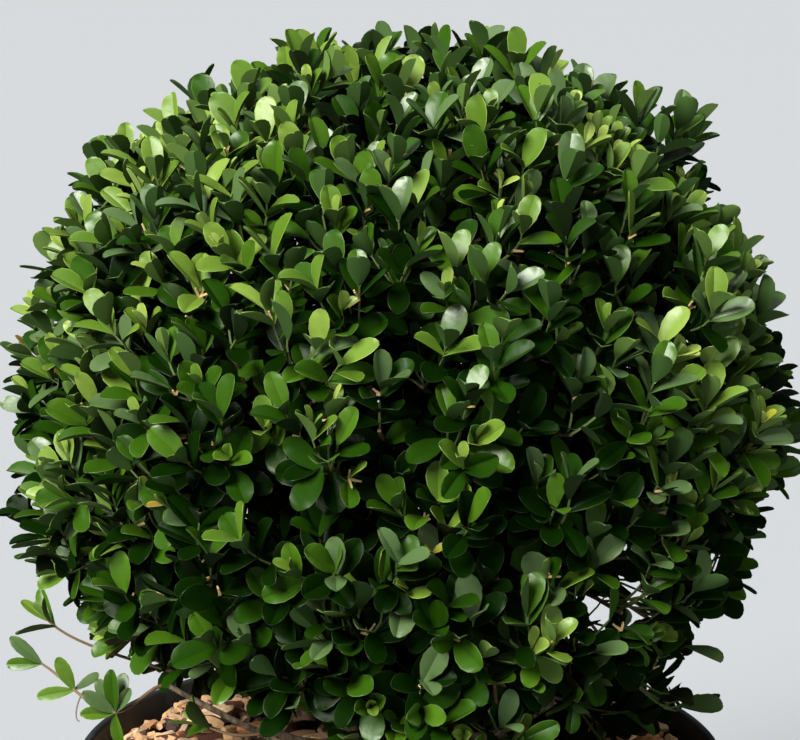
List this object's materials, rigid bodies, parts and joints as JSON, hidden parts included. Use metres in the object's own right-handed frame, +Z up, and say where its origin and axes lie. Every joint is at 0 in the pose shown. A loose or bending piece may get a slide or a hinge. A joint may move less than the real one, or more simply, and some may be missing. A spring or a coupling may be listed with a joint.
{
  "type": "potted japanese holly ball",
  "caption": "Evergreen shrub clipped to a ball, with small glossy leaves, in a round tapering nursery pot mulched with wood chips.",
  "frame": {"origin": "centre of the pot's flat underside, on the axis of the pot", "axes": "+Z up along the pot's axis; the trailing shoot points along -X, and the side seen in the source view faces -Y"},
  "size_m": [0.4063, 0.4122, 0.6514],
  "materials": {
    "pot": "charcoal grey moulded plastic, faintly glossy on its rolled lip",
    "compost": "dark brown fibrous compost",
    "wood_chips": "pale tan split wood chips with a few dark bark shards",
    "bark": "grey-brown bark, greener on young twigs",
    "foliage": "glossy dark green leaves with paler margins, fresh yellow-green at the tips"
  },
  "bodies": {
    "root": {"pot": "pot", "compost": "compost", "wood_chips": "wood_chips", "stem": "bark", "bough_1": "bark", "bough_2": "bark", "bough_3": "bark", "bough_4": "bark", "bough_5": "bark", "low_bough_1": "bark", "low_bough_2": "bark", "low_bough_3": "bark", "low_bough_4": "bark", "low_bough_5": "bark", "sprig_bough": "bark", "ball_foliage": "foliage", "skirt_foliage_1": "foliage", "skirt_foliage_2": "foliage", "skirt_foliage_3": "foliage", "skirt_foliage_4": "foliage", "skirt_foliage_5": "foliage", "sprig_foliage": "foliage"}
  },
  "joints": []
}
